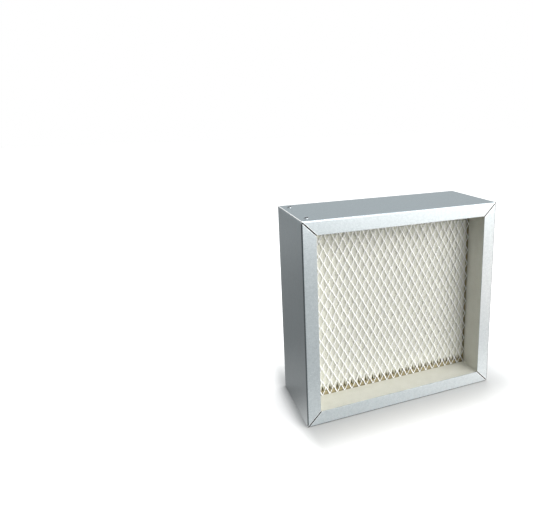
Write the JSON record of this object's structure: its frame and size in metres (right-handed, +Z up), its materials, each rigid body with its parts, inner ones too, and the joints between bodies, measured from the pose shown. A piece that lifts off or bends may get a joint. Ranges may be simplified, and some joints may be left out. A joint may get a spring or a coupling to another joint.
{
  "type": "hepa filter panel",
  "caption": "Deep, nearly square filter panel: folded steel channel casing around a pleated pack, with a recessed expanded metal face guard and a back gasket.",
  "frame": {"origin": "middle of the footprint, at the level the panel stands on", "axes": "+Z up, the open front face looks along -Y, the width runs along X"},
  "size_m": [0.305, 0.12, 0.2962],
  "materials": {
    "casing": "satin galvanised sheet",
    "rivets": "satin",
    "boards": "matt cream primer on board",
    "face_guard": "white powder coat",
    "media": "matt fibre",
    "sealant": "matt cast resin",
    "gasket": "matt foam"
  },
  "bodies": {
    "root": {"casing": "casing", "rivets": "rivets", "front_board_bottom": "boards", "front_board_top": "boards", "front_board_left": "boards", "front_board_right": "boards", "face_guard": "face_guard", "media_pack": "media", "sealant": "sealant", "back_board_bottom": "boards", "back_board_top": "boards", "back_board_left": "boards", "back_board_right": "boards", "gasket_bottom": "gasket", "gasket_left": "gasket", "gasket_top": "gasket", "gasket_right": "gasket"}
  },
  "joints": []
}
